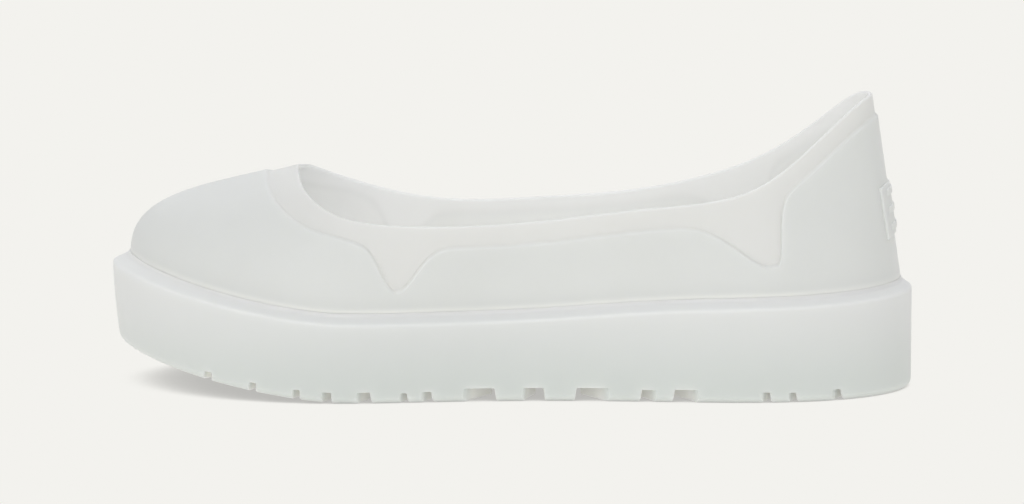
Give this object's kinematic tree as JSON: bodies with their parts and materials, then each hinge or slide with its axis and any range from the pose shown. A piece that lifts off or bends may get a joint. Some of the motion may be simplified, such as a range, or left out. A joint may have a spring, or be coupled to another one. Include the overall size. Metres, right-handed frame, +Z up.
{
  "type": "rubber overshoe",
  "caption": "Low overshoe of milky translucent rubber with an open collar, raised toe, side and heel panels, a stepped side band and a lugged sole; it pulls over another shoe",
  "frame": {"origin": "centre of the bounding box at the floor", "axes": "+X to the heel along the length, +Y to the inner side of the foot, +Z up"},
  "size_m": [0.285, 0.1141, 0.1041],
  "materials": {
    "upper_rubber": "satin",
    "sole_rubber": "satin"
  },
  "bodies": {
    "root": {"upper": "upper_rubber", "sole": "sole_rubber"}
  },
  "joints": []
}
